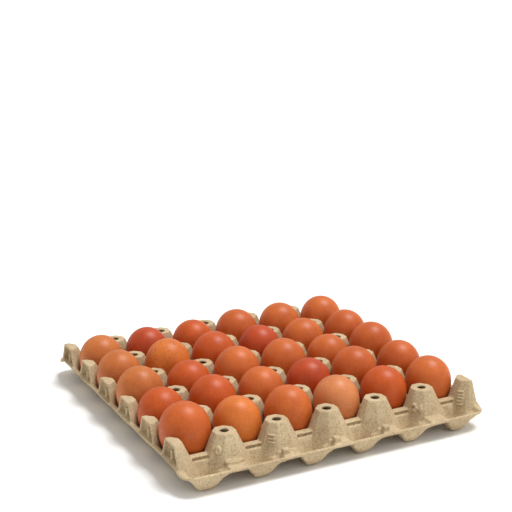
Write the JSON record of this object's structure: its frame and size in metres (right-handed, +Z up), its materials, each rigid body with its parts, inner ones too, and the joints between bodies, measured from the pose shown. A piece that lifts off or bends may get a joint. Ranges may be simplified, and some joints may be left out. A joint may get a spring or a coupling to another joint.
{
  "type": "moulded pulp egg tray with eggs",
  "caption": "Open moulded-pulp tray with a grid of cups between hollow tapered posts, half cups along its long edges, and a brown egg standing in every cup.",
  "frame": {"origin": "centre of the tray's footprint, on the surface it stands on", "axes": "+Z up, +X along the side with six eggs, +Y along the side with five eggs"},
  "size_m": [0.2856, 0.298, 0.0554],
  "materials": {
    "pulp": "rough matt moulded pulp, warm grey-beige",
    "shell": "satin brown eggshell, a little different on every egg"
  },
  "bodies": {
    "root": {"tray": "pulp", "egg_1_1": "shell", "egg_1_2": "shell", "egg_1_3": "shell", "egg_1_4": "shell", "egg_1_5": "shell", "egg_1_6": "shell", "egg_2_1": "shell", "egg_2_2": "shell", "egg_2_3": "shell", "egg_2_4": "shell", "egg_2_5": "shell", "egg_2_6": "shell", "egg_3_1": "shell", "egg_3_2": "shell", "egg_3_3": "shell", "egg_3_4": "shell", "egg_3_5": "shell", "egg_3_6": "shell", "egg_4_1": "shell", "egg_4_2": "shell", "egg_4_3": "shell", "egg_4_4": "shell", "egg_4_5": "shell", "egg_4_6": "shell", "egg_5_1": "shell", "egg_5_2": "shell", "egg_5_3": "shell", "egg_5_4": "shell", "egg_5_5": "shell", "egg_5_6": "shell"}
  },
  "joints": []
}
